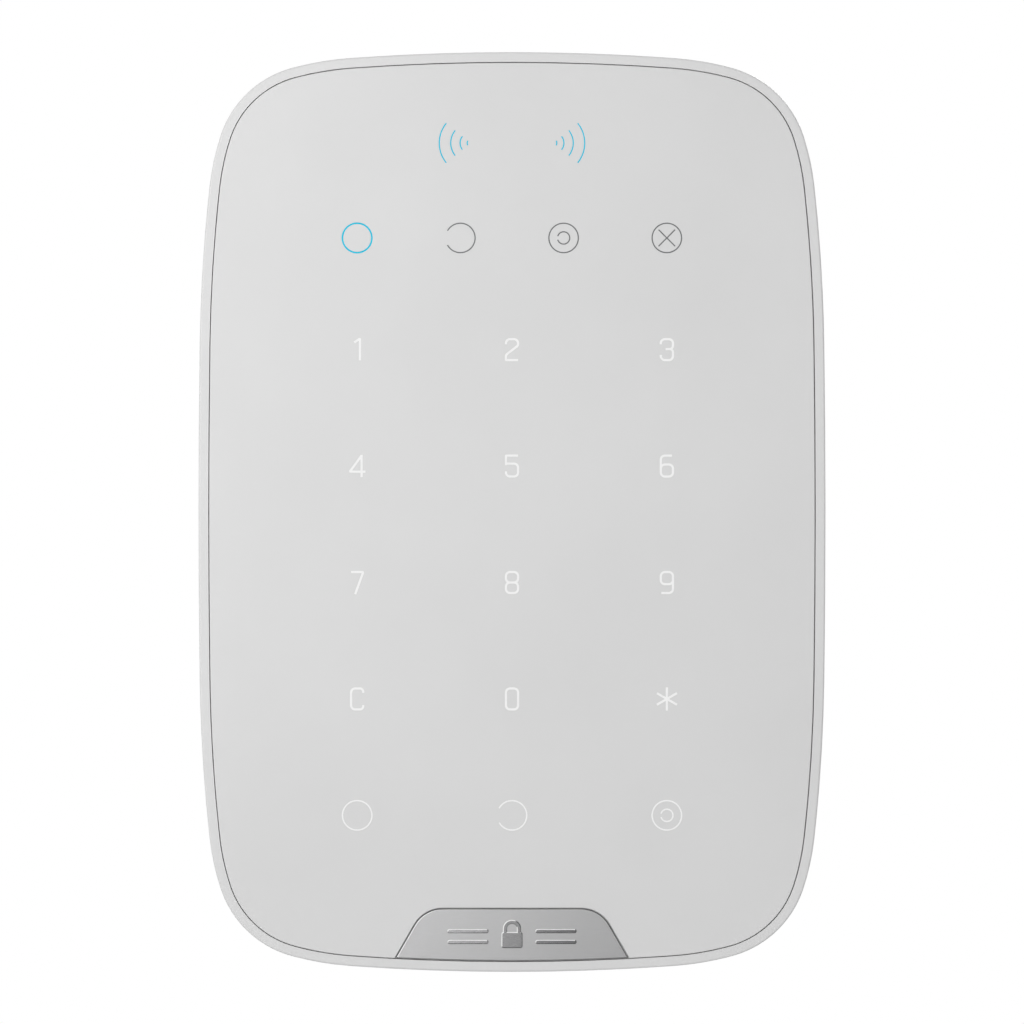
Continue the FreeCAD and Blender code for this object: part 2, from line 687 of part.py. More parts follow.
def housing_openings():
    """Everything that is cut out of the housing."""
    below = -PANEL_HEIGHT / 2 - 1
    tools = [
        box(-BAY_HALF_WIDTH, BAY_HALF_WIDTH, 0, BAY_FLOOR, BAY_Z - BAY_HALF_HEIGHT, BAY_Z + BAY_HALF_HEIGHT),
        box(-NOTCH_HALF_WIDTH, NOTCH_HALF_WIDTH, 1, NOTCH_FRONT, below, NOTCH_TOP),
        Part.makeCylinder(LOCK_BORE_RADIUS, LOCK_BORE_LENGTH, V(0, LOCK_Y, NOTCH_TOP), V(0, 0, 1)),
        disc(TAMPER_ROD_RADIUS + SLIP_GAP, 0, HOUSING_BACK_INSIDE - 1, 0, TAMPER_Z),
        disc(POWER_RADIUS + SLIP_GAP, 0, HOUSING_BACK_INSIDE - 1, POWER_X, POWER_Z),
    ]
    tools += [disc(SMALL_SCREW_PILOT, 0, COVER_PILOT_END, x, z) for x, z in COVER_SCREWS]
    tools += [disc(SMALL_SCREW_PILOT, BOARD_PILOT_END, BOARD_BACK - 1, x, z) for x, z in BOARD_FIXINGS]
    tools += [disc(WELL_RADIUS, 0, WELL_FLOOR, x, z) for x, z in POSTS]
    tools += [disc(WELL_HOLE_RADIUS, 0, WELL_END - 1, x, z) for x, z in POSTS]
    return tools + hook_slots() + sound_slots()


def make_rear_housing():
    return cut(fuse([housing_walls()] + housing_additions()), housing_openings())


def make_housing_screws():
    """Pan-head screws in the wells, up into the front panel's posts."""
    head_back = WELL_FLOOR + HOUSING_SCREW_HEAD_HEIGHT
    reach, width, depth, head_round = 3.2, 0.7, 0.6, 0.5
    screws = []
    for x, z in POSTS:
        head = disc(HOUSING_SCREW_HEAD_RADIUS, head_back, WELL_FLOOR, x, z)
        head = head.makeFillet(head_round, back_edges(head, head_back))
        shank = disc(HOUSING_SCREW_RADIUS, WELL_FLOOR, HOUSING_SCREW_END, x, z)
        screws.append(cut(fuse([head, shank]), cross_recess(x, z, reach, width, head_back - depth)))
    return group(screws)


# ---------------------------------------------------------------- wall plate


def plate_blank():
    """Clear of the skirt all the way up, so it is the outline shared by both ends of the lift."""
    low = outline_solid(PLATE_INSET, 0.0, PLATE_FRONT)
    high = low.copy()
    high.translate(V(0, 0, LIFT))
    return low.common(high)


def plate_window():
    """Leaves room for the battery cover all the way up."""
    half_height = COVER_HALF_HEIGHT + WINDOW_MARGIN + LIFT / 2
    face = rectangle_face(COVER_HALF_WIDTH + WINDOW_MARGIN, half_height, WINDOW_CORNER, 0, BAY_Z + LIFT / 2)
    return extrude(face, 1.0, PLATE_FRONT - 1)


def tab_perforations():
    """Rows of slots round the tab, with thin bridges between them that break."""
    slots_a_side = 4
    middle = (slots_a_side - 1) / 2
    slots = []
    for place in range(slots_a_side):
        for side in (-1, 1):
            across, up = TAB_WIDTH / slots_a_side, TAB_HEIGHT / slots_a_side
            slots.append(centred_box((place - middle) * across, TAB_CENTRE_Z + side * TAB_HEIGHT / 2,
                                     across - BRIDGE, PERFORATION, 1, PLATE_FRONT - 1))
            slots.append(centred_box(side * TAB_WIDTH / 2, TAB_CENTRE_Z + (place - middle) * up,
                                     PERFORATION, up - BRIDGE, 1, PLATE_FRONT - 1))
    return slots


def countersunk_hole(x, z):
    sink_back = PLATE_FRONT + WALL_HOLE_SINK_DEPTH
    return [
        disc(WALL_HOLE_RADIUS, 1.0, PLATE_FRONT - 1, x, z),
        cone(WALL_HOLE_RADIUS, WALL_HOLE_SINK_RADIUS, sink_back, PLATE_FRONT, x, z),
    ]


def hook(side, stem):
    """A stem through the housing's back, with a lip that stands up behind it."""
    x0, x1 = side * HOOK_X - HOOK_WIDTH / 2, side * HOOK_X + HOOK_WIDTH / 2
    stem_top = stem + HOOK_STEM_HEIGHT
    lip_top = stem_top + HOOK_LIP_HEIGHT
    shape = fuse([
        box(x0, x1, PLATE_FRONT / 2, HOOK_LIP_FRONT, stem, stem_top),
        box(x0, x1, HOOK_LIP_BACK, HOOK_LIP_FRONT, stem, lip_top),
    ])
    lead_in = [
        edge for edge in shape.Edges
        if edge.BoundBox.ZMin > lip_top - 0.01 and edge.BoundBox.XLength > 1
    ]
    return shape.makeChamfer(HOOK_LEAD_IN, lead_in)


def make_mounting_plate():
    blank = cut(plate_blank(), [plate_window()])
    flat_edges = [edge for edge in blank.Edges if edge.BoundBox.YLength < 0.01]
    blank = blank.makeFillet(CAST_ROUND, flat_edges)
    tools = tab_perforations()
    for x, z in WALL_HOLES + [(0.0, TAB_HOLE_Z)]:
        tools += countersunk_hole(x, z)
    tongue = box(-FLANGE_HALF_WIDTH, FLANGE_HALF_WIDTH, 0, PLATE_FRONT, FLANGE_BOTTOM, TONGUE_TOP)
    flange = box(-FLANGE_HALF_WIDTH, FLANGE_HALF_WIDTH, 0, FLANGE_FRONT, FLANGE_BOTTOM, FLANGE_TOP)
    hooks = [hook(side, stem) for side in (-1, 1) for stem in HOOK_STEMS]
    lock_hole = Part.makeCylinder(LOCK_FLANGE_HOLE_RADIUS, FLANGE_TOP - FLANGE_BOTTOM + 2,
                                  V(0, LOCK_Y, FLANGE_BOTTOM - 1), V(0, 0, 1))
    return cut(fuse([cut(blank, tools), tongue, flange] + hooks), [lock_hole])


def make_lock_screw():
    """Its head bears on the flange from below, and its shank goes up into the housing's block."""
    head_top = FLANGE_BOTTOM - FITTING_GAP
    head_bottom = head_top - LOCK_HEAD_HEIGHT
    head = Part.makeCylinder(LOCK_HEAD_RADIUS, LOCK_HEAD_HEIGHT, V(0, LOCK_Y, head_bottom), V(0, 0, 1))
    shank = Part.makeCylinder(LOCK_SHANK_RADIUS, LOCK_SHANK_LENGTH, V(0, LOCK_Y, head_top), V(0, 0, 1))
    reach, half_width = 1.7, 0.4
    arms = [
        box(-a, a, LOCK_Y - b, LOCK_Y + b, head_bottom - 1, head_bottom + LOCK_RECESS_DEPTH)
        for a, b in ((reach, half_width), (half_width, reach))
    ]
    return cut(fuse([head, shank]), arms)


# ---------------------------------------------------------------- battery bay


def cell_direction(index):
    """Neighbouring cells point opposite ways: 1 is up."""
    return 1 if index % 2 == 0 else -1


def cell_x(index):
    return (index - (CELL_COUNT - 1) / 2) * CELL_PITCH


def make_cell(index):
    up = cell_direction(index)
    base = V(cell_x(index), CELL_Y, BAY_Z + up * (CELL_TIP - CELL_LENGTH))
    barrel_length = CELL_LENGTH - CELL_NUB_HEIGHT
    rolled_edge, bury = 0.6, 0.3
    barrel = Part.makeCylinder(CELL_RADIUS, barrel_length, base, V(0, 0, up))
    rims = [edge for edge in barrel.Edges if edge.BoundBox.ZLength < 0.01]
    barrel = barrel.makeFillet(rolled_edge, rims)
    nub = Part.makeCylinder(CELL_NUB_RADIUS, CELL_NUB_HEIGHT + bury,
                            base + V(0, 0, up * (barrel_length - bury)), V(0, 0, up))
    return fuse([barrel, nub])


def contact_plate(index, wall, inward):
    """A pressed plate that lies on the bay's wall behind one cell."""
    x = cell_x(index)
    return box(x - CONTACT_HALF_WIDTH, x + CONTACT_HALF_WIDTH, CELL_Y - CONTACT_HALF_DEPTH,
               CELL_Y + CONTACT_HALF_DEPTH, wall, wall + inward * CONTACT_PLATE)


def make_battery_springs():
    """One closed taper stands for each coil, on its plate at the cell's flat end."""
    length = 2 * BAY_HALF_HEIGHT - CONTACT_STAND - CELL_LENGTH - CONTACT_PLATE - FITTING_GAP
    wide, narrow = 4.6, 2.6
    shapes = []
    for index in range(CELL_COUNT):
        up = cell_direction(index)
        wall = BAY_Z - up * BAY_HALF_HEIGHT
        start = V(cell_x(index), CELL_Y, wall + up * CONTACT_PLATE)
        taper = Part.makeCone(wide, narrow, length, start, V(0, 0, up))
        shapes.append(fuse([contact_plate(index, wall, up), taper]))
    return group(shapes)


def make_battery_plates():
    """Pressed plates with a dimple for each cell's raised end."""
    rise = CONTACT_STAND - CONTACT_PLATE - FITTING_GAP
    wide, narrow = 3.0, 2.0
    shapes = []
    for index in range(CELL_COUNT):
        up = cell_direction(index)
        wall = BAY_Z + up * BAY_HALF_HEIGHT
        start = V(cell_x(index), CELL_Y, wall - up * CONTACT_PLATE)
        dimple = Part.makeCone(wide, narrow, rise, start, V(0, 0, -up))
        shapes.append(fuse([contact_plate(index, wall, -up), dimple]))
    return group(shapes)


def make_battery_cover():
    """A flat lid with two ribs that locate it in the bay, and a notch for a fingertip."""
    face = rectangle_face(COVER_HALF_WIDTH, COVER_HALF_HEIGHT, COVER_CORNER, 0, BAY_Z)
    blank = extrude(face, COVER_BACK, COVER_FRONT)
    blank = blank.makeFillet(CAST_ROUND, back_edges(blank, COVER_BACK))
    rib_outer, rib_inner, rib_front, rib_half_height = BAY_HALF_WIDTH - 0.2, BAY_HALF_WIDTH - 1.2, -3.0, 18.0
    bury, sink_radius, sink_floor = 0.2, 2.0, COVER_FRONT + 0.2
    ribs = [
        box(side * rib_outer, side * rib_inner, COVER_FRONT + bury, rib_front,
            BAY_Z - rib_half_height, BAY_Z + rib_half_height)
        for side in (-1, 1)
    ]
    holes = []
    for x, z in COVER_SCREWS:
        holes.append(disc(SMALL_SCREW_HOLE, 0, COVER_FRONT - 1, x, z))
        holes.append(cone(sink_radius, SMALL_SCREW_HOLE, COVER_BACK, sink_floor, x, z))
    notch_width, notch_reach, notch_floor = 16.0, 2.5, COVER_FRONT + 0.35
    notch = centred_box(0, BAY_Z - COVER_HALF_HEIGHT, notch_width, 2 * notch_reach, 0, notch_floor)
    return cut(fuse([blank] + ribs), holes + [notch])


def make_cover_screws():
    """Countersunk screws, a hair under the cover's back."""
    head_back, head_front, end = COVER_BACK - 0.05, COVER_FRONT + 0.25, -6.5
    wide, narrow = 1.85, 1.0
    reach, width, depth = 2.3, 0.5, 0.55
    screws = []
    for x, z in COVER_SCREWS:
        head = cone(wide, narrow, head_back, head_front, x, z)
        shank = disc(SMALL_SCREW_RADIUS, head_front + 0.05, end, x, z)
        screws.append(cut(fuse([head, shank]), cross_recess(x, z, reach, width, head_back - depth)))
    return group(screws)


def make_rating_label():
    half_width, half_height, corner, film = 24.0, 14.0, 1.5, 0.1
    return extrude(rectangle_face(half_width, half_height, corner, 0, BAY_Z), COVER_BACK + film, COVER_BACK)


# ---------------------------------------------------------------- switches and their buttons


def make_tamper_plunger():
    """Its domed end bears on the plate's tab, and its thin end is the switch's own plunger."""
    tip_back, tip_round = PLATE_FRONT - FITTING_GAP, 0.6
    rod = disc(TAMPER_ROD_RADIUS, tip_back, TAMPER_ROD_END, 0, TAMPER_Z)
    rod = rod.makeFillet(tip_round, back_edges(rod, tip_back))
    flange = disc(TAMPER_FLANGE_RADIUS, TAMPER_ROD_END + 0.1, TAMPER_FLANGE_FRONT, 0, TAMPER_Z)
    stem = disc(TAMPER_STEM_RADIUS, TAMPER_FLANGE_FRONT, TAMPER_STEM_END, 0, TAMPER_Z)
    thin = disc(TAMPER_TIP_RADIUS, TAMPER_STEM_END, TAMPER_TIP_END, 0, TAMPER_Z)
    return fuse([rod, flange, stem, thin])


def make_tamper_spring():
    """A closed tube stands for the coil."""
    outer_radius, inner_radius = 2.5, 1.8
    back, front = TAMPER_FLANGE_FRONT - FITTING_GAP, TAMPER_SWITCH_BACK + FITTING_GAP
    return disc(outer_radius, back, front, 0, TAMPER_Z).cut(disc(inner_radius, 0, -PANEL_DEPTH, 0, TAMPER_Z))


def switch_body(x, z, width, height, back, leg_rise, bore_radius, bore_end):
    """A board switch with two legs on each side and a bore for its plunger."""
    body = centred_box(x, z, width, height, BOARD_BACK, back)
    bury = 0.1
    leg_x = (width + SWITCH_LEG_WIDTH) / 2 - bury
    legs = [
        centred_box(x + side * leg_x, z + rise, SWITCH_LEG_WIDTH, SWITCH_LEG_HEIGHT,
                    BOARD_BACK, BOARD_BACK + SWITCH_LEG_DEPTH)
        for side in (-1, 1)
        for rise in (-leg_rise, leg_rise)
    ]
    return cut(fuse([body] + legs), [disc(bore_radius, 0, bore_end, x, z)])


def make_tamper_switch():
    width, height, leg_rise, bore_radius, bore_end = 8.0, 6.5, 2.0, TAMPER_TIP_RADIUS + 0.25, -15.5
    return switch_body(0, TAMPER_Z, width, height, TAMPER_SWITCH_BACK, leg_rise, bore_radius, bore_end)


def make_power_button():
    """A cap in the housing's back, a flange that holds it in, and the switch's own stem."""
    cap_back, cap_round = HOUSING_BACK - 0.15, 0.3
    cap = disc(POWER_RADIUS, cap_back, POWER_CAP_END, POWER_X, POWER_Z)
    cap = cap.makeFillet(cap_round, back_edges(cap, cap_back))
    flange = disc(POWER_FLANGE_RADIUS, POWER_CAP_END, POWER_FLANGE_FRONT, POWER_X, POWER_Z)
    stem = disc(POWER_STEM_RADIUS, POWER_FLANGE_FRONT, POWER_STEM_END, POWER_X, POWER_Z)
    return fuse([cap, flange, stem])


def make_power_switch():
    side, leg_rise, bore_radius, bore_end = 6.0, 2.2, POWER_STEM_RADIUS + 0.2, -15.2
    return switch_body(POWER_X, POWER_Z, side, side, POWER_SWITCH_BACK, leg_rise, bore_radius, bore_end)


# ---------------------------------------------------------------- board and its components


def make_main_board():
    board = outline_solid(BOARD_INSET, BOARD_BACK, BOARD_FRONT)
    screw_holes = [disc(SMALL_SCREW_HOLE, 0, -PANEL_DEPTH, x, z) for x, z in BOARD_FIXINGS]
    return cut(board, post_holes() + screw_holes)


def make_board_screws():
    """Flat heads on the board's front, with their shanks in the housing's bosses."""
    slot_length, slot_width, slot_depth, shank_end = 3.0, 0.5, 0.3, -10.0
    screws = []
    for x, z in BOARD_FIXINGS:
        head = disc(BOARD_SCREW_HEAD_RADIUS, BOARD_FRONT, BOARD_FRONT - BOARD_SCREW_HEAD_HEIGHT, x, z)
        shank = disc(SMALL_SCREW_RADIUS, shank_end, BOARD_FRONT, x, z)
        slot = centred_box(x, z, slot_length, slot_width, BOARD_FRONT - slot_depth, -PANEL_DEPTH)
        screws.append(cut(fuse([head, shank]), [slot]))
    return group(screws)


def make_touch_electrodes():
    """Copper rings under the keys, with room for each key's light."""
    outer_radius, light_radius, front = 7.5, 2.0, BOARD_FRONT - COPPER
    return group(
        disc(outer_radius, BOARD_FRONT, front, x, z).cut(disc(light_radius, BOARD_BACK, -PANEL_DEPTH, x, z))
        for x, z in KEY_CENTRES + MODE_CENTRES
    )


def make_legend_leds():
    width, height, depth = 1.6, 0.8, 0.5
    centres = KEY_CENTRES + MODE_CENTRES + STATUS_CENTRES + READER_LEDS
    return group(centred_box(x, z, width, height, BOARD_FRONT, BOARD_FRONT - depth) for x, z in centres)


def make_reader_coil():
    """Flat rectangular turns of track, each inside the last."""
    turn_count, pitch, track = 5, 0.9, 0.5
    outer_half_width, outer_half_height, corner = 25.0, 8.2, 2.0
    turns = []
    for turn in range(turn_count):
        half_width, half_height = outer_half_width - pitch * turn, outer_half_height - pitch * turn
        outer = rectangle_face(half_width, half_height, corner, 0, READER_Z)
        inner = rectangle_face(half_width - track, half_height - track, corner - track, 0, READER_Z)
        turns.append(extrude(outer.cut(inner), BOARD_FRONT, BOARD_FRONT - COPPER))
    return group(turns)


def chip(x, z, side, height, lead_count):
    """A square package with a row of leads on each side."""
    stand, lead_depth, lead_length, bury = 0.1, 0.25, 0.8, 0.1
    body = centred_box(x, z, side, side, BOARD_BACK + stand, BOARD_BACK + height)
    pitch = side / (lead_count + 1)
    reach = (side + lead_length) / 2 - bury
    lead_back = BOARD_BACK + lead_depth
    leads = []
    for lead in range(lead_count):
        along = (lead - (lead_count - 1) / 2) * pitch
        for across in (-reach, reach):
            leads.append(centred_box(x + along, z + across, pitch / 2, lead_length, BOARD_BACK, lead_back))
            leads.append(centred_box(x + across, z + along, lead_length, pitch / 2, BOARD_BACK, lead_back))
    return fuse([body] + leads)


def make_radio_shield():
    """A pressed can with rows of vent holes, open towards the board."""
    x, z, width, height, depth, sheet = -24.0, 44.0, 20.0, 15.0, 2.4, 0.3
    vent_radius, vent_pitch = 0.5, 3.0
    back = BOARD_BACK + depth
    can = centred_box(x, z, width, height, BOARD_BACK, back)
    inside = centred_box(x, z, width - 2 * sheet, height - 2 * sheet, BOARD_BACK - 1, back - sheet)
    vents = [
        disc(vent_radius, 0, -PANEL_DEPTH, x + column * vent_pitch, z + row * vent_pitch)
        for column in (-2, -1, 0, 1, 2)
        for row in (-1, 0, 1)
    ]
    return cut(can, [inside] + vents)


def make_radio_antennas():
    """A bent strip at each upper corner, so that one of them always hears the hub."""
    sheet, rise, arm_back, arm_low = 0.4, 5.5, 3.5, 53.0
    legs = ((53.0, 55.0), (58.0, 59.0))
    arm_high = 70.0
    strips = []
    for x in (-40.0, 40.0):
        x0, x1 = x - sheet / 2, x + sheet / 2
        pieces = [box(x0, x1, BOARD_BACK, BOARD_BACK + rise, low, high) for low, high in legs]
        pieces.append(box(x0, x1, BOARD_BACK + arm_back, BOARD_BACK + rise, arm_low, arm_high))
        strips.append(fuse(pieces))
    return group(strips)


def make_buzzer():
    x, z, radius, height, rim_round = -24.0, -58.0, 11.0, 6.0, 0.5
    sound_hole_radius, sound_hole_depth = 1.3, 1.5
    can = disc(radius, BOARD_BACK + height, BOARD_BACK, x, z)
    can = can.makeFillet(rim_round, back_edges(can, BOARD_BACK + height))
    return cut(can, [disc(sound_hole_radius, 0, BOARD_BACK + height - sound_hole_depth, x, z)])


def make_capacitors():
    """Round cans on square bases."""
    radius, height, base, base_depth, rim_round, z = 3.15, 5.6, 6.6, 0.8, 0.3, -50.0
    cans = []
    for x in (14.0, 22.0, 30.0):
        can = disc(radius, BOARD_BACK + height, BOARD_BACK, x, z)
        can = can.makeFillet(rim_round, back_edges(can, BOARD_BACK + height))
        cans.append(fuse([centred_box(x, z, base, base, BOARD_BACK, BOARD_BACK + base_depth), can]))
    return group(cans)


def make_crystal():
    x, z, half_length, half_width, height, top_round = 20.0, 34.0, 5.2, 2.2, 3.2, 0.4
    face = rectangle_face(half_length, half_width, half_width - 0.01, x, z)
    body = extrude(face, BOARD_BACK + height, BOARD_BACK)
    return body.makeFillet(top_round, back_edges(body, BOARD_BACK + height))


def make_chip_resistors():
    """Two banks of small parts beside the chips: three rows of six and two rows of ten."""
    width, height, depth, column_pitch, row_pitch = 0.9, 1.7, 0.5, 2.2, 3.0
    places = []
    for left, low, columns, rows in ((-6.0, 36.0, 6, 3), (12.0, -64.0, 10, 2)):
        places += [(left + column * column_pitch, low + row * row_pitch)
                   for column in range(columns) for row in range(rows)]
    return group(centred_box(x, z, width, height, BOARD_BACK, BOARD_BACK + depth) for x, z in places)


# ---------------------------------------------------------------- the parts

legends, pockets = make_legends()
nodes = {
    "mounting_plate": make_mounting_plate(),
    "lock_screw": make_lock_screw(),
    "rear_housing": make_rear_housing(),
    "front_panel": make_front_panel(pockets),
    "badge": make_badge(),
    "badge_mark": make_badge_mark(),
    "light_mask": make_light_mask(),
    "housing_screws": make_housing_screws(),
    "main_board": make_main_board(),
    "board_screws": make_board_screws(),
    "touch_electrodes": make_touch_electrodes(),
    "legend_leds": make_legend_leds(),
    "reader_coil": make_reader_coil(),
    "radio_shield": make_radio_shield(),
    "radio_antennas": make_radio_antennas(),
    "buzzer": make_buzzer(),
    "capacitors": make_capacitors(),
    "crystal": make_crystal(),
    "chip_resistors": make_chip_resistors(),
    "battery_springs": make_battery_springs(),
    "battery_plates": make_battery_plates(),
    "battery_cover": make_battery_cover(),
    "cover_screws": make_cover_screws(),
    "rating_label": make_rating_label(),
    "tamper_plunger": make_tamper_plunger(),
    "tamper_spring": make_tamper_spring(),
    "tamper_switch": make_tamper_switch(),
    "power_button": make_power_button(),
    "power_switch": make_power_switch(),
}
nodes.update(legends)
for name, dimensions in CHIPS.items():
    nodes[name] = chip(*dimensions)
for index in range(CELL_COUNT):
    nodes[f"battery_{index + 1}"] = make_cell(index)

os.makedirs("parts", exist_ok=True)
for name, shape in nodes.items():
    shape.exportStep(f"parts/{name}.step")
    print(name, len(shape.Solids), "solids", round(shape.Volume, 1), "mm3", shape.isValid())
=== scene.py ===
import math

import bmesh
import bpy
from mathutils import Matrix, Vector


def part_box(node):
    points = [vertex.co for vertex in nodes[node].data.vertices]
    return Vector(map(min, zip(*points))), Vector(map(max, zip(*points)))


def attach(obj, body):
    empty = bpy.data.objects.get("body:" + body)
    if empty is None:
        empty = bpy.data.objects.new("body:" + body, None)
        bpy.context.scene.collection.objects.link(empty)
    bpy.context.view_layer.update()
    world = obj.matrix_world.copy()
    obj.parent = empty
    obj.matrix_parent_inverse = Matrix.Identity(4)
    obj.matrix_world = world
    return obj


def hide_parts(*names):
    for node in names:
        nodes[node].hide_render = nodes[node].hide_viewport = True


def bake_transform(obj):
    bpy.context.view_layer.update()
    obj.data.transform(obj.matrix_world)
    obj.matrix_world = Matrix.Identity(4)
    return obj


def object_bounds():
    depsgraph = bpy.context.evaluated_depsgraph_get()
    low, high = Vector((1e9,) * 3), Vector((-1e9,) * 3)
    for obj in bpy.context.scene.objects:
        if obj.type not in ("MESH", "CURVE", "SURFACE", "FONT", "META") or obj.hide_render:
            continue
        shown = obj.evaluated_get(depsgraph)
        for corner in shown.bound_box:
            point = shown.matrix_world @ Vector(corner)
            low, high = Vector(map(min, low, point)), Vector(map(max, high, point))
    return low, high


# Alarm keypad panel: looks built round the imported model. Metres, in the model's own frame:
# +Z up, +X to the right seen from the front, the keys facing -Y, the wall at y = 0.

MM = 0.001

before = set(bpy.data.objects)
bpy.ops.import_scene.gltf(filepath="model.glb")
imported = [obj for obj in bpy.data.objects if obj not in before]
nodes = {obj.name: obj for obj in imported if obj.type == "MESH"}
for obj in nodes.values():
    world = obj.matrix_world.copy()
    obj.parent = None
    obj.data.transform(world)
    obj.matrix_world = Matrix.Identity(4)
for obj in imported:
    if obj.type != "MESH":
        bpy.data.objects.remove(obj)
cad_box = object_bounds()

# ---------------------------------------------------------------- node material helpers


def shade(colour, factor):
    return tuple(channel * factor for channel in colour)


class Graph:
    """A material's node tree, with short calls for the nodes used here. Scales are per metre."""

    def __init__(self, name):
        self.material = bpy.data.materials.new(name)
        self.material.use_nodes = True
        self.tree = self.material.node_tree
        self.shader = self.tree.nodes["Principled BSDF"]
        self.coordinates = self.node("ShaderNodeTexCoord")
        self.place = self.coordinates.outputs["Object"]

    def node(self, kind, **settings):
        made = self.tree.nodes.new(kind)
        for key, value in settings.items():
            setattr(made, key, value)
        return made

    def link(self, source, target):
        self.tree.links.new(source, target)

    def stretched(self, scale):
        """Object coordinates with a scale for each axis."""
        mapping = self.node("ShaderNodeMapping")
        mapping.inputs["Scale"].default_value = scale
        self.link(self.place, mapping.inputs["Vector"])
        return mapping.outputs["Vector"]

    def noise(self, scale, detail=3.0, roughness=0.5, vector=None):
        made = self.node("ShaderNodeTexNoise")
        made.inputs["Scale"].default_value = scale
        made.inputs["Detail"].default_value = detail
        made.inputs["Roughness"].default_value = roughness
        self.link(vector or self.place, made.inputs["Vector"])
        return made.outputs["Fac"]

    def spread(self, value, low, high, from_low=0.3, from_high=0.7):
        """Maps a texture's value onto a range."""
        made = self.node("ShaderNodeMapRange")
        ranges = {"From Min": from_low, "From Max": from_high, "To Min": low, "To Max": high}
        for key, number in ranges.items():
            made.inputs[key].default_value = number
        self.link(value, made.inputs["Value"])
        return made.outputs["Result"]

    def mix(self, fraction, first, second):
        """Mixes two colours, each a colour or another node's output."""
        made = self.node("ShaderNodeMix", data_type="RGBA")
        self.link(fraction, made.inputs["Factor"])
        for socket, value in ((made.inputs[6], first), (made.inputs[7], second)):
            if isinstance(value, tuple):
                socket.default_value = (*value, 1.0)
            else:
                self.link(value, socket)
        return made.outputs[2]

    def mottle(self, texture, colour, darkest, lightest):
        """A colour that varies with a texture, between two factors of itself."""
        return self.mix(self.spread(texture, 0.0, 1.0), shade(colour, darkest), shade(colour, lightest))

    def combine(self, operation, *values):
        """A Math node on numbers and other nodes' outputs."""
        made = self.node("ShaderNodeMath", operation=operation)
        for socket, value in zip(made.inputs, values):
            if isinstance(value, float):
                socket.default_value = value
            else:
                self.link(value, socket)
        return made.outputs[0]

    def axis(self, name):
        """One coordinate of the piece, in metres."""
        split = self.node("ShaderNodeSeparateXYZ")
        self.link(self.place, split.inputs["Vector"])
        return split.outputs[name]

    def plane(self, first, second):
        """Two coordinates of the piece, as the X and Y of a flat texture."""
        made = self.node("ShaderNodeCombineXYZ")
        self.link(self.axis(first), made.inputs["X"])
        self.link(self.axis(second), made.inputs["Y"])
        return made.outputs["Vector"]

    def track_runs(self, first, second):
        """1 on short parallel copper tracks, which run along the first axis. The sizes are in mm."""
        runs = self.node("ShaderNodeTexBrick", offset=0.37, offset_frequency=3)
        black, white = (0, 0, 0, 1), (1, 1, 1, 1)
        values = {"Color1": black, "Color2": white, "Mortar": black, "Scale": 1 / MM,
                  "Brick Width": 9.0, "Row Height": 0.85, "Mortar Size": 0.26, "Mortar Smooth": 0.0}
        for key, value in values.items():
            runs.inputs[key].default_value = value
        self.link(self.plane(first, second), runs.inputs["Vector"])
        return self.spread(runs.outputs["Color"], 0.0, 1.0, 0.44, 0.46)

    def square_patches(self, scale):
        """0 or 1 in each of many blocky patches."""
        patches = self.node("ShaderNodeTexVoronoi", distance="CHEBYCHEV", voronoi_dimensions="2D")
        patches.inputs["Scale"].default_value = scale
        self.link(self.plane("X", "Z"), patches.inputs["Vector"])
        return self.spread(patches.outputs["Color"], 0.0, 1.0, 0.49, 0.51)

    def dots(self, scale):
        """1 in small round spots, scattered over a board that stands in the XZ plane."""
        spots = self.node("ShaderNodeTexVoronoi")
        spots.inputs["Scale"].default_value = scale
        self.link(self.stretched((1.0, 0.0, 1.0)), spots.inputs["Vector"])
        return self.spread(spots.outputs["Distance"], 1.0, 0.0, 0.10, 0.13)

    def painted_highlight_bevels(self):
        """1 on bevels that face up or left, where a highlight is painted, and 0 elsewhere."""
        normal = self.node("ShaderNodeSeparateXYZ")
        self.link(self.coordinates.outputs["Normal"], normal.inputs["Vector"])
        lean = self.combine("SUBTRACT", normal.outputs["Z"], normal.outputs["X"])
        return self.spread(lean, 0.0, 1.0, 0.2, 0.5)

    def colour(self, value):
        self.link(value, self.shader.inputs["Base Color"])

    def roughness(self, value):
        self.link(value, self.shader.inputs["Roughness"])

    def bump(self, height, strength, distance):
        made = self.node("ShaderNodeBump")
        made.inputs["Strength"].default_value = strength
        made.inputs["Distance"].default_value = distance
        self.link(height, made.inputs["Height"])
        self.link(made.outputs["Normal"], self.shader.inputs["Normal"])

    def set(self, **values):
        for key, value in values.items():
            self.shader.inputs[key.replace("_", " ")].default_value = value


def satin_plastic(name, colour, roughness, grain=0.35 * MM, grain_depth=0.004 * MM):
    """Moulded plastic with a spark-eroded satin skin and a faint cloudiness."""
    g = Graph(name)
    cloud = g.noise(scale=35.0, detail=2.0)
    g.colour(g.mottle(cloud, colour, darkest=0.985, lightest=1.015))
    skin = g.noise(scale=1.0 / grain, detail=4.0, roughness=0.6)
    g.roughness(g.spread(skin, roughness - 0.04, roughness + 0.05))
    g.bump(skin, strength=0.6, distance=grain_depth)
    g.set(Specular_IOR_Level=0.45)
    return g.material


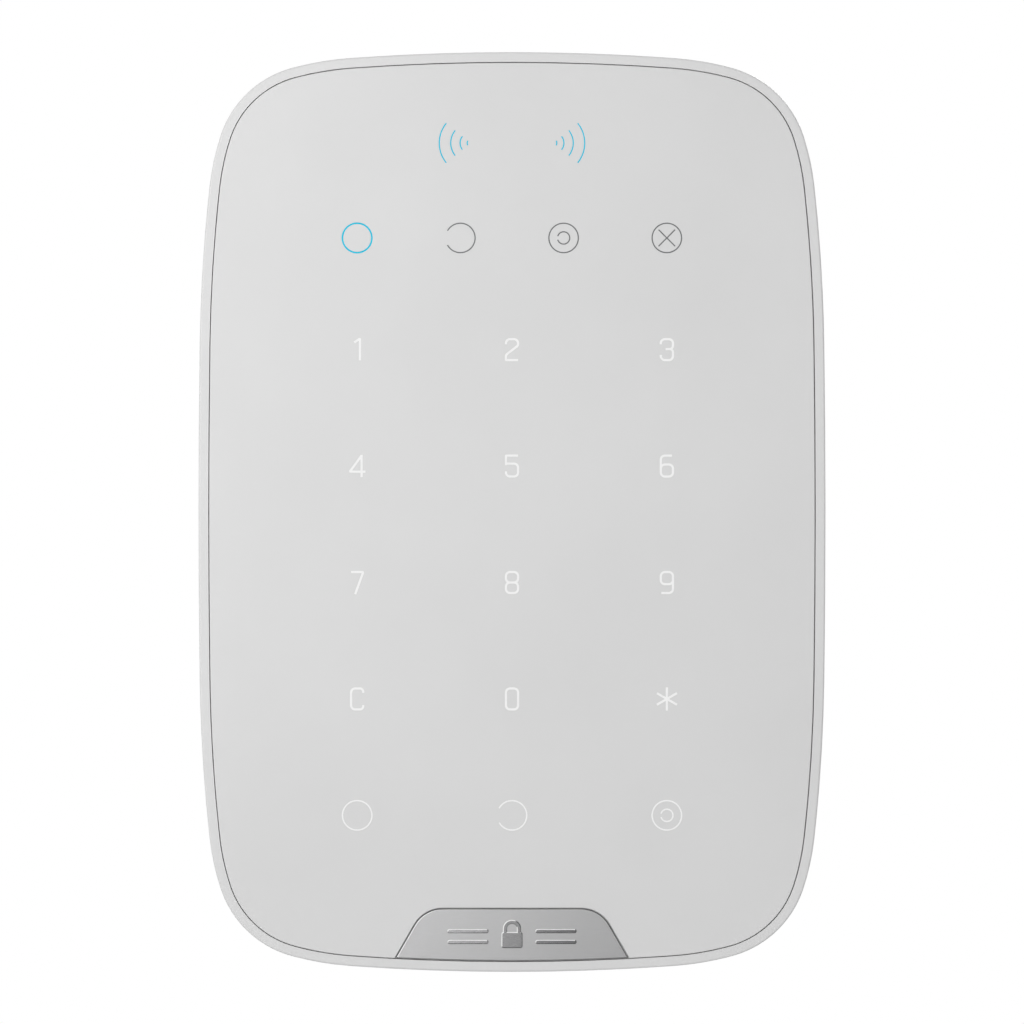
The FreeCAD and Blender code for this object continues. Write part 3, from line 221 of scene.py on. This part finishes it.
def brushed_metal(name, colour, roughness, along=(1.0, 30.0, 30.0), right=1.0, half_width=20 * MM,
                  bevel=None):
    """Metal drawn over a fine belt, with streaks along one axis. Painted shade darkens it towards its
    right end.
    """
    g = Graph(name)
    streak = g.noise(scale=900.0, detail=4.0, roughness=0.65, vector=g.stretched(along))
    cloud = g.noise(scale=60.0, detail=2.0)
    # painted shade: the right end's colour is darkened by the factor right, and the colour fades to it
    # from the left end's colour
    ends = []
    for factor in (1.0, right):
        tone = g.mottle(streak, colour, darkest=0.94 * factor, lightest=1.05 * factor)
        ends.append(g.mix(g.spread(cloud, 0.0, 0.25), tone, shade(colour, 1.06 * factor)))
    face = g.mix(g.spread(g.axis("X"), 0.0, 1.0, -half_width, half_width), *ends)
    g.roughness(g.spread(streak, roughness - 0.05, roughness + 0.07))
    g.bump(streak, strength=0.35, distance=0.006 * MM)
    g.set(Metallic=1.0)
    # painted highlight: bevels that face up or left take the pale bevel colour and are made less
    # metallic
    if bevel:
        lit = g.painted_highlight_bevels()
        face = g.mix(lit, face, bevel)
        g.link(g.spread(lit, 1.0, 0.2, 0.0, 1.0), g.shader.inputs["Metallic"])
    g.colour(face)
    return g.material


def plated_metal(name, colour, roughness):
    """Plated steel with a soft uneven sheen."""
    g = Graph(name)
    cloud = g.noise(scale=500.0)
    fine = g.noise(scale=4000.0)
    g.colour(g.mottle(cloud, colour, darkest=0.9, lightest=1.08))
    g.roughness(g.spread(fine, roughness - 0.06, roughness + 0.08))
    g.bump(fine, strength=0.3, distance=0.004 * MM)
    g.set(Metallic=1.0)
    return g.material


def lit_window(name, colour, light=(1.0, 1.0, 1.0), glow=0.0):
    """A clear legend in the paint, lit softly from behind."""
    g = Graph(name)
    cloud = g.noise(scale=900.0, detail=2.0)
    g.colour(g.mottle(cloud, colour, darkest=0.96, lightest=1.0))
    g.roughness(g.spread(cloud, 0.25, 0.34))
    g.set(Emission_Color=(*light, 1.0), Emission_Strength=glow, Specular_IOR_Level=0.15)
    return g.material


def matt_black(name, dark, light, scale, detail, grain_depth, roughness):
    """A dull black skin with a fine grain."""
    g = Graph(name)
    skin = g.noise(scale, detail)
    g.colour(g.mix(g.spread(skin, 0.0, 1.0), dark, light))
    g.roughness(g.spread(skin, *roughness))
    g.bump(skin, strength=0.5, distance=grain_depth)
    return g.material


def solder_mask(name):
    """Green lacquer over copper tracks, which show as slightly raised, lighter lines."""
    bare, over_track, via = (0.010, 0.085, 0.038), (0.028, 0.16, 0.066), (0.55, 0.52, 0.38)
    g = Graph(name)
    upright = g.square_patches(scale=75.0)
    tracks = g.mix(upright, g.track_runs("X", "Z"), g.track_runs("Z", "X"))
    lacquer = g.mix(tracks, bare, over_track)
    g.colour(g.mix(g.dots(scale=360.0), lacquer, via))
    g.roughness(g.spread(g.noise(scale=120.0, detail=2.0), 0.28, 0.38))
    g.bump(tracks, strength=0.6, distance=0.03 * MM)
    g.set(Coat_Weight=0.5, Coat_Roughness=0.12)
    return g.material


def cell_wrap(name, low, high, nub_up):
    """A printed film: a dark barrel, a lighter shoulder at the raised end and bare steel beyond it."""
    barrel_dark, barrel_light = (0.030, 0.034, 0.042), (0.040, 0.045, 0.055)
    shoulder_print, steel = (0.62, 0.36, 0.13), (0.62, 0.62, 0.60)
    shoulder_start, metal_start, shoulder_end = 0.775, 0.776, 0.777
    length = high - low
    g = Graph(name)
    first, last = (low, high) if nub_up else (high, low)
    along = g.spread(g.axis("Z"), 0.0, 1.0, first, last)
    shoulder = g.spread(along, 0.0, 1.0, shoulder_start, shoulder_end)
    bare = g.spread(along, 0.0, 1.0, 1.0 - 1.6 * MM / length, 1.0 - 1.5 * MM / length)
    foot = g.spread(along, 1.0, 0.0, 0.5 * MM / length, 0.7 * MM / length)
    fleck = g.noise(scale=2600.0, detail=2.0)
    barrel = g.mix(g.spread(fleck, 0.0, 1.0), barrel_dark, barrel_light)
    film = g.mix(shoulder, barrel, shoulder_print)
    g.colour(g.mix(foot, g.mix(bare, film, steel), steel))
    g.link(g.spread(along, 0.25, 0.9, metal_start, shoulder_end), g.shader.inputs["Metallic"])
    g.roughness(g.spread(fleck, 0.24, 0.32))
    g.set(Coat_Weight=0.3, Coat_Roughness=0.1)
    return g.material


def label_film(name, low, high):
    """A plain pale film with a thin printed frame."""
    inset, line, reach = 1.6 * MM, 0.25 * MM, 10 * MM
    g = Graph(name)
    fibre = g.noise(scale=3000.0)
    paper = g.mix(g.spread(fibre, 0.0, 1.0), (0.78, 0.78, 0.77), (0.84, 0.84, 0.83))
    edges = []
    for axis, a, b in (("X", low.x, high.x), ("Z", low.z, high.z)):
        place = g.axis(axis)
        from_low = g.spread(place, 0.0, 1.0, a, a + reach)
        from_high = g.spread(place, 0.0, 1.0, b, b - reach)
        edges.append(g.combine("MINIMUM", from_low, from_high))
    nearest = g.combine("MINIMUM", *edges)
    frame_line = g.combine("COMPARE", nearest, inset / reach, line / reach / 2)
    g.colour(g.mix(frame_line, paper, (0.18, 0.18, 0.19)))
    g.roughness(g.spread(fibre, 0.40, 0.5))
    g.bump(fibre, strength=0.2, distance=0.005 * MM)
    return g.material


# ---------------------------------------------------------------- materials on the model's nodes

housing_plastic = satin_plastic("housing_plastic", (0.63, 0.63, 0.63), roughness=0.40)
panel_plastic = satin_plastic("panel_plastic", (0.62, 0.62, 0.62), roughness=0.38,
                              grain=0.3 * MM, grain_depth=0.003 * MM)
plate_plastic = satin_plastic("plate_plastic", (0.55, 0.55, 0.55), roughness=0.5,
                              grain=0.5 * MM, grain_depth=0.012 * MM)
cover_plastic = satin_plastic("cover_plastic", (0.59, 0.59, 0.59), roughness=0.46,
                              grain=0.45 * MM, grain_depth=0.012 * MM)
button_plastic = satin_plastic("button_plastic", (0.30, 0.31, 0.32), roughness=0.42)
plunger_plastic = satin_plastic("plunger_plastic", (0.80, 0.80, 0.78), roughness=0.35)
switch_plastic = satin_plastic("switch_plastic", (0.028, 0.028, 0.030), roughness=0.45)
buzzer_plastic = satin_plastic("buzzer_plastic", (0.018, 0.018, 0.018), roughness=0.38)
# badge_metal and mark_metal take painted shade that darkens them towards their right ends
badge_metal = brushed_metal("badge_metal", (0.44, 0.44, 0.443), roughness=0.36, right=0.85)
# mark_metal's bevel colour is a painted highlight on the bevels that face up or left
mark_metal = brushed_metal("mark_metal", (0.445, 0.445, 0.45), roughness=0.24, right=0.325,
                           half_width=14 * MM, bevel=(0.95, 0.95, 0.95))
capacitor_can = brushed_metal("capacitor_can", (0.62, 0.62, 0.63), roughness=0.3,
                              along=(30.0, 1.0, 30.0))
tinned_steel = plated_metal("tinned_steel", (0.62, 0.62, 0.60), roughness=0.34)
spring_steel = plated_metal("spring_steel", (0.66, 0.67, 0.69), roughness=0.24)
screw_steel = plated_metal("screw_steel", (0.50, 0.50, 0.51), roughness=0.32)
copper = plated_metal("copper", (0.78, 0.47, 0.26), roughness=0.36)
white_window = lit_window("white_window", (0.42, 0.42, 0.42), glow=0.43)
grey_window = lit_window("grey_window", (0.17, 0.175, 0.18))
blue_window = lit_window("blue_window", (0.002, 0.30, 0.42), light=(0.0, 0.72, 1.0), glow=0.28)
led_resin = lit_window("led_resin", (0.90, 0.86, 0.55))
mask_plastic = matt_black("mask_plastic", dark=(0.010, 0.010, 0.011), light=(0.022, 0.022, 0.023),
                          scale=2500.0, detail=4.0, grain_depth=0.01 * MM, roughness=(0.5, 0.7))
chip_resin = matt_black("chip_resin", dark=(0.018, 0.018, 0.019), light=(0.035, 0.035, 0.036),
                        scale=6000.0, detail=3.0, grain_depth=0.008 * MM, roughness=(0.5, 0.65))
board_laminate = solder_mask("board_laminate")
film = label_film("label_film", *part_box("rating_label"))

finishes = {
    housing_plastic: ["rear_housing"],
    panel_plastic: ["front_panel"],
    plate_plastic: ["mounting_plate"],
    cover_plastic: ["battery_cover"],
    badge_metal: ["badge"],
    mark_metal: ["badge_mark"],
    white_window: ["key_legends", "mode_legends"],
    grey_window: ["status_legends"],
    blue_window: ["armed_legend", "reader_legends"],
    mask_plastic: ["light_mask"],
    board_laminate: ["main_board"],
    copper: ["touch_electrodes", "reader_coil"],
    led_resin: ["legend_leds"],
    chip_resin: ["microcontroller", "touch_controller", "reader_chip", "chip_resistors"],
    tinned_steel: ["radio_shield", "radio_antennas", "crystal"],
    buzzer_plastic: ["buzzer"],
    capacitor_can: ["capacitors"],
    switch_plastic: ["tamper_switch", "power_switch"],
    spring_steel: ["battery_plates", "battery_springs", "tamper_spring"],
    screw_steel: ["housing_screws", "board_screws", "cover_screws", "lock_screw"],
    plunger_plastic: ["tamper_plunger"],
    button_plastic: ["power_button"],
    film: ["rating_label"],
}


def nub_is_up(number):
    """Neighbouring cells lie head to tail."""
    return number % 2 == 1


CELLS = range(1, 5)
for number in CELLS:
    low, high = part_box(f"battery_{number}")
    wrap = cell_wrap(f"cell_wrap_{number}", low.z, high.z, nub_is_up(number))
    finishes[wrap] = [f"battery_{number}"]
for finish, names in finishes.items():
    for name in names:
        nodes[name].material_slots[0].material = finish

# ---------------------------------------------------------------- mesh helpers


def mesh_piece(name, verts, faces, material):
    mesh = bpy.data.meshes.new(name)
    mesh.from_pydata(verts, [], faces)
    mesh.validate()
    mesh.materials.append(material)
    for polygon in mesh.polygons:
        polygon.use_smooth = True
    piece = bpy.data.objects.new(name, mesh)
    bpy.context.scene.collection.objects.link(piece)
    return piece


def joined(name, parts, material):
    """One mesh piece from several lists of vertices and faces."""
    verts, faces = [], []
    for more_verts, more_faces in parts:
        start = len(verts)
        verts += more_verts
        faces += [tuple(start + i for i in face) for face in more_faces]
    return mesh_piece(name, verts, faces, material)


def lists_of(shape):
    """A bmesh's vertices and faces as plain lists. It frees the bmesh."""
    shape.verts.index_update()
    verts = [vert.co.copy() for vert in shape.verts]
    faces = [tuple(vert.index for vert in face.verts) for face in shape.faces]
    shape.free()
    return verts, faces


def tube_faces(rings, sides):
    """Faces over rings of vertices, closed at both ends."""
    faces = []
    for ring in range(rings - 1):
        for corner in range(sides):
            a, b = ring * sides + corner, ring * sides + (corner + 1) % sides
            faces.append((a, b, b + sides, a + sides))
    faces.append(tuple(reversed(range(sides))))
    faces.append(tuple(range((rings - 1) * sides, rings * sides)))
    return faces


# ---------------------------------------------------------------- wire coils


def coil_wire(start, direction, length, first_radius, last_radius, turns, wire):
    """Vertices and faces of round wire wound about a line. The first and last turns lie flat."""
    steps_per_turn, sides = 28, 10
    steps = int(turns * steps_per_turn)
    side = direction.orthogonal().normalized()
    other = direction.cross(side)
    flat_rise = wire * 0.9          # of an end turn, which all but touches itself

    def rise(turn):
        if turn < 1:
            return flat_rise * turn
        if turn > turns - 1:
            return length - wire - flat_rise * (turns - turn)
        between = length - wire - 2 * flat_rise
        return flat_rise + between * (turn - 1) / (turns - 2)

    line = []
    for step in range(steps + 1):
        turn = step / steps_per_turn
        angle = turn * 2 * math.pi
        radius = first_radius + (last_radius - first_radius) * turn / turns
        around = side * math.cos(angle) + other * math.sin(angle)
        line.append(start + direction * (rise(turn) + wire / 2) + around * radius)
    verts = []
    for step, point in enumerate(line):
        ahead = (line[min(step + 1, steps)] - line[max(step - 1, 0)]).normalized()
        across = direction.cross(ahead).normalized()
        up = ahead.cross(across)
        for corner in range(sides):
            angle = corner * 2 * math.pi / sides
            verts.append(point + (across * math.cos(angle) + up * math.sin(angle)) * (wire / 2))
    return verts, tube_faces(len(line), sides)


def contact_plate(centre, z_wall, z_face):
    """Vertices and faces of a thin pressed plate against a bay wall."""
    half_x, half_y, corner_radius = 5.5 * MM, 6 * MM, 1.2 * MM
    shape = bmesh.new()
    corners = [
        shape.verts.new((centre.x + sx * half_x, centre.y + sy * half_y, z))
        for z in (z_wall, z_face)
        for sx, sy in ((-1, -1), (1, -1), (1, 1), (-1, 1))
    ]
    quads = [(0, 1, 2, 3), (4, 5, 6, 7), (0, 1, 5, 4), (1, 2, 6, 5), (2, 3, 7, 6), (3, 0, 4, 7)]
    for quad in quads:
        shape.faces.new([corners[i] for i in quad])
    bmesh.ops.recalc_face_normals(shape, faces=shape.faces)
    half_thickness = abs(z_face - z_wall) / 2
    uprights = [e for e in shape.edges if abs(e.verts[0].co.z - e.verts[1].co.z) > half_thickness]
    bmesh.ops.bevel(shape, geom=uprights, offset=corner_radius, segments=4, affect="EDGES")
    return lists_of(shape)


def battery_coils():
    """Tapered coils on their plates at the flat end of each cell."""
    plate, wire, play = 0.3 * MM, 0.6 * MM, 0.05 * MM
    base_radius, tip_radius, turns = 4.4 * MM, 2.4 * MM, 4.5
    bay_low, bay_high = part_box("battery_springs")
    parts = []
    for number in CELLS:
        low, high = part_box(f"battery_{number}")
        centre = (low + high) / 2
        up = 1 if nub_is_up(number) else -1
        wall, cell_end = (bay_low.z, low.z) if up == 1 else (bay_high.z, high.z)
        face = wall + up * plate
        parts.append(contact_plate(centre, wall, face))
        start = Vector((centre.x, centre.y, face))
        length = abs(cell_end - face) - play
        parts.append(coil_wire(start, Vector((0, 0, up)), length, base_radius, tip_radius, turns, wire))
    coils = joined("battery_coils", parts, spring_steel)
    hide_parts("battery_springs")
    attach(coils, "keypad")


def tamper_coil():
    """Squeezed between the switch, which is on the board, and the plunger's flange."""
    wire, turns = 0.45 * MM, 7.0
    low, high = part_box("tamper_spring")
    centre = (low + high) / 2
    radius = (high.x - low.x) / 2 - wire / 2
    start = Vector((centre.x, low.y, centre.z))
    verts, faces = coil_wire(start, Vector((0, 1, 0)), high.y - low.y, radius, radius, turns, wire)
    coil = mesh_piece("tamper_coil", verts, faces, spring_steel)
    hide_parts("tamper_spring")
    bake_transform(coil)


battery_coils()
tamper_coil()

# ---------------------------------------------------------------- screw threads


def loose_solids(shape):
    """The separate solids of a mesh, each a list of its vertices."""
    seen, solids = set(), []
    for first in shape.verts:
        if first in seen:
            continue
        seen.add(first)
        solid = [first]
        for vert in solid:
            for edge in vert.link_edges:
                other = edge.other_vert(vert)
                if other not in seen:
                    seen.add(other)
                    solid.append(other)
        solids.append(solid)
    return solids


def shank_of(solid, direction):
    """Where a screw's shank leaves its head, and the shank's length and radius."""
    slack = 0.05 * MM
    wider_than_shank = 1.02
    points = [vert.co for vert in solid]
    middle = Vector((min(p[i] for p in points) + max(p[i] for p in points)) / 2 for i in range(3))

    def height(point):
        return (point - middle).dot(direction)

    def reach(point):
        return (point - middle - direction * height(point)).length

    tip = max(height(p) for p in points)
    radius = max(reach(p) for p in points if height(p) > tip - slack)
    root = max(height(p) for p in points if reach(p) > radius * wider_than_shank)
    return middle + direction * root, tip - root, radius


def thread(start, direction, length, radius):
    """Vertices and faces of a screw's core with a self-tapping thread, which runs out at both ends."""
    sides, rows_per_turn = 24, 12
    pitch = 0.76 * radius           # 1.1 mm on a screw 2.9 mm thick
    core, tip = 0.74 * radius, 0.5 * radius
    half_foot, half_crest = 0.32, 0.09      # of the ridge, in pitches
    side = direction.orthogonal().normalized()
    other = direction.cross(side)
    rows = round(length / pitch * rows_per_turn)
    verts = []
    for row in range(rows + 1):
        height = length * row / rows
        runout = min(1.0, height / pitch, (length - height) / pitch)
        for corner in range(sides):
            from_crest = abs((height / pitch - corner / sides) % 1.0 - 0.5)
            ridge = min(1.0, max(0.0, (half_foot - from_crest) / (half_foot - half_crest)))
            reach = tip if row == rows else core + (radius - core) * ridge * runout
            angle = corner * 2 * math.pi / sides
            outward = side * math.cos(angle) + other * math.sin(angle)
            verts.append(start + direction * height + outward * reach)
    return verts, tube_faces(rows + 1, sides)


def threaded_screws(node, direction, body):
    """Screws with the model's own heads, and a thread in place of each plain shank."""
    same_place, collar, sharp_angle = 0.001 * MM, 0.05 * MM, math.radians(35)
    shape = bmesh.new()
    shape.from_mesh(nodes[node].data)
    bmesh.ops.remove_doubles(shape, verts=shape.verts, dist=same_place)
    shanks = [shank_of(solid, direction) for solid in loose_solids(shape)]
    cut = shanks[0][0] + direction * collar
    everything = shape.verts[:] + shape.edges[:] + shape.faces[:]
    bmesh.ops.bisect_plane(shape, geom=everything, plane_co=cut, plane_no=direction, clear_outer=True)
    bmesh.ops.holes_fill(shape, edges=[edge for edge in shape.edges if edge.is_boundary])
    parts = [lists_of(shape)]
    parts += [thread(start, direction, length, radius) for start, length, radius in shanks]
    screws = joined(f"threaded_{node}", parts, screw_steel)
    screws.data.set_sharp_from_angle(angle=sharp_angle)
    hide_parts(node)
    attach(screws, body)


threaded_screws("lock_screw", Vector((0, 0, 1)), "lock_screw")
threaded_screws("cover_screws", Vector((0, -1, 0)), "battery_cover")
threaded_screws("housing_screws", Vector((0, -1, 0)), "keypad")
threaded_screws("board_screws", Vector((0, 1, 0)), "keypad")

# ---------------------------------------------------------------- floor, light and camera


def plain_floor():
    """A pale floor below the panel, as bright to the camera as the surround."""
    half, drop = 1.2, 0.03
    z = cad_box[0].z - drop
    corners = [(-half, -half, z), (half, -half, z), (half, half, z), (-half, half, z)]
    g = Graph("studio_floor")
    cloud = g.spread(g.noise(scale=3.0), 0.0, 1.0)
    g.colour(g.mix(cloud, (0.62, 0.62, 0.62), (0.66, 0.66, 0.66)))
    g.set(Roughness=0.8)
    glow = g.node("ShaderNodeEmission")
    seen = g.node("ShaderNodeLightPath").outputs["Is Camera Ray"]
    both = g.node("ShaderNodeMixShader")
    for socket, source in zip(both.inputs, (seen, g.shader.outputs[0], glow.outputs[0])):
        g.link(source, socket)
    g.link(both.outputs[0], g.tree.nodes["Material Output"].inputs["Surface"])
    mesh_piece("floor", corners, [(0, 1, 2, 3)], g.material)


def surround():
    """White where the camera sees it, and softer where it lights the panel."""
    world = bpy.data.worlds.new("surround")
    bpy.context.scene.world = world
    world.use_nodes = True
    tree = world.node_tree
    lights = tree.nodes["Background"]
    shows = tree.nodes.new("ShaderNodeBackground")
    for background, strength in ((lights, 0.5), (shows, 1.0)):
        background.inputs["Color"].default_value = (1.0, 1.0, 1.0, 1.0)
        background.inputs["Strength"].default_value = strength
    seen = tree.nodes.new("ShaderNodeLightPath").outputs["Is Camera Ray"]
    both = tree.nodes.new("ShaderNodeMixShader")
    for socket, source in zip(both.inputs, (seen, lights.outputs[0], shows.outputs[0])):
        tree.links.new(source, socket)
    tree.links.new(both.outputs[0], tree.nodes["World Output"].inputs["Surface"])


def soft_box(name, place, size, power):
    """A round soft light that faces the model's origin."""
    data = bpy.data.lights.new(name, "AREA")
    data.shape = "DISK"
    data.size = size
    data.energy = power
    light = bpy.data.objects.new(name, data)
    light.location = place
    light.rotation_euler = (-Vector(place)).to_track_quat("-Z", "Y").to_euler()
    light.visible_camera = False
    bpy.context.scene.collection.objects.link(light)


def camera():
    """Square on, with a long lens, so that the sides stay hidden behind the front."""
    view_width, lens, sensor = 183.74 * MM, 135.0, 36.0
    distance = view_width * lens / sensor
    data = bpy.data.cameras.new("camera")
    data.lens = lens
    data.sensor_width = sensor
    eye = bpy.data.objects.new("camera", data)
    eye.location = (0.0, cad_box[0].y - distance, 0.0)
    eye.rotation_euler = (math.pi / 2, 0.0, 0.0)
    bpy.context.scene.collection.objects.link(eye)
    bpy.context.scene.camera = eye


plain_floor()
surround()
soft_box("key_light", (-0.42, -0.80, 0.02), size=0.9, power=8.1)
soft_box("back_light", (0.5, 0.7, 0.6), size=0.5, power=5.0)
camera()
bpy.context.scene.view_settings.view_transform = "Standard"
